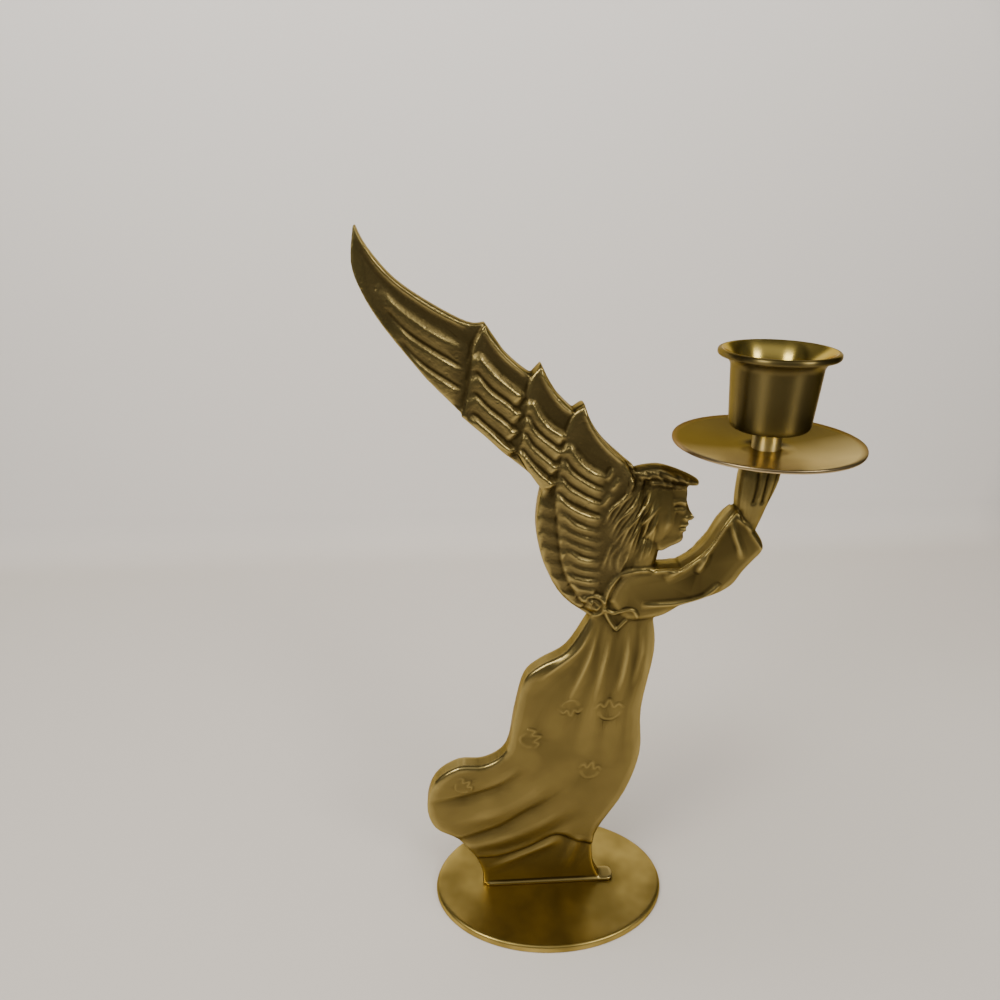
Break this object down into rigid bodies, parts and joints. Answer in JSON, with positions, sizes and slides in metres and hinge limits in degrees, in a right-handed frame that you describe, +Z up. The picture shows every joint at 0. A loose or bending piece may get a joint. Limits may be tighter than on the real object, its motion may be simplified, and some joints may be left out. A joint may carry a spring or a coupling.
{
  "type": "angel candlestick",
  "caption": "Brass candlestick: a flat cast angel with a raised feathered wing stands on an oval base and holds up a drip pan and a candle cup that unscrews.",
  "frame": {"origin": "centre of the oval base plate's underside", "axes": "+Z up, +X the way the angel faces, +Y to the angel's left; the casting lies in the XZ plane"},
  "size_m": [0.1361, 0.054, 0.2186],
  "materials": {
    "cast_brass": "satin sand casting, darker in the hollows",
    "polished_brass": "polished, with fine turning lines",
    "spun_brass": "spun sheet, satin, slightly tarnished at the edge",
    "fastener_brass": "plain machined"
  },
  "bodies": {
    "stand": {"base_plate": "polished_brass", "angel_figure": "cast_brass", "figure_screw_left": "fastener_brass", "figure_screw_right": "fastener_brass", "drip_pan": "spun_brass"},
    "stem": {"neck_stud": "polished_brass"},
    "cup": {"candle_cup": "polished_brass", "cup_nut": "fastener_brass"}
  },
  "joints": [
    {"name": "cup_lift", "type": "slide", "parent": "stand", "child": "stem", "axis": [0, 0, 1], "range_m": [0, 0.0056]},
    {"name": "cup_turn", "type": "hinge", "parent": "stem", "child": "cup", "pos_m": [0.0568, 0, 0.165], "axis": [0, 0, 1], "range_deg": [0, 2880]}
  ],
  "couplings": [
    {"joint": "cup_lift", "follows": "cup_turn", "m_per_rad": 0.0001114}
  ]
}
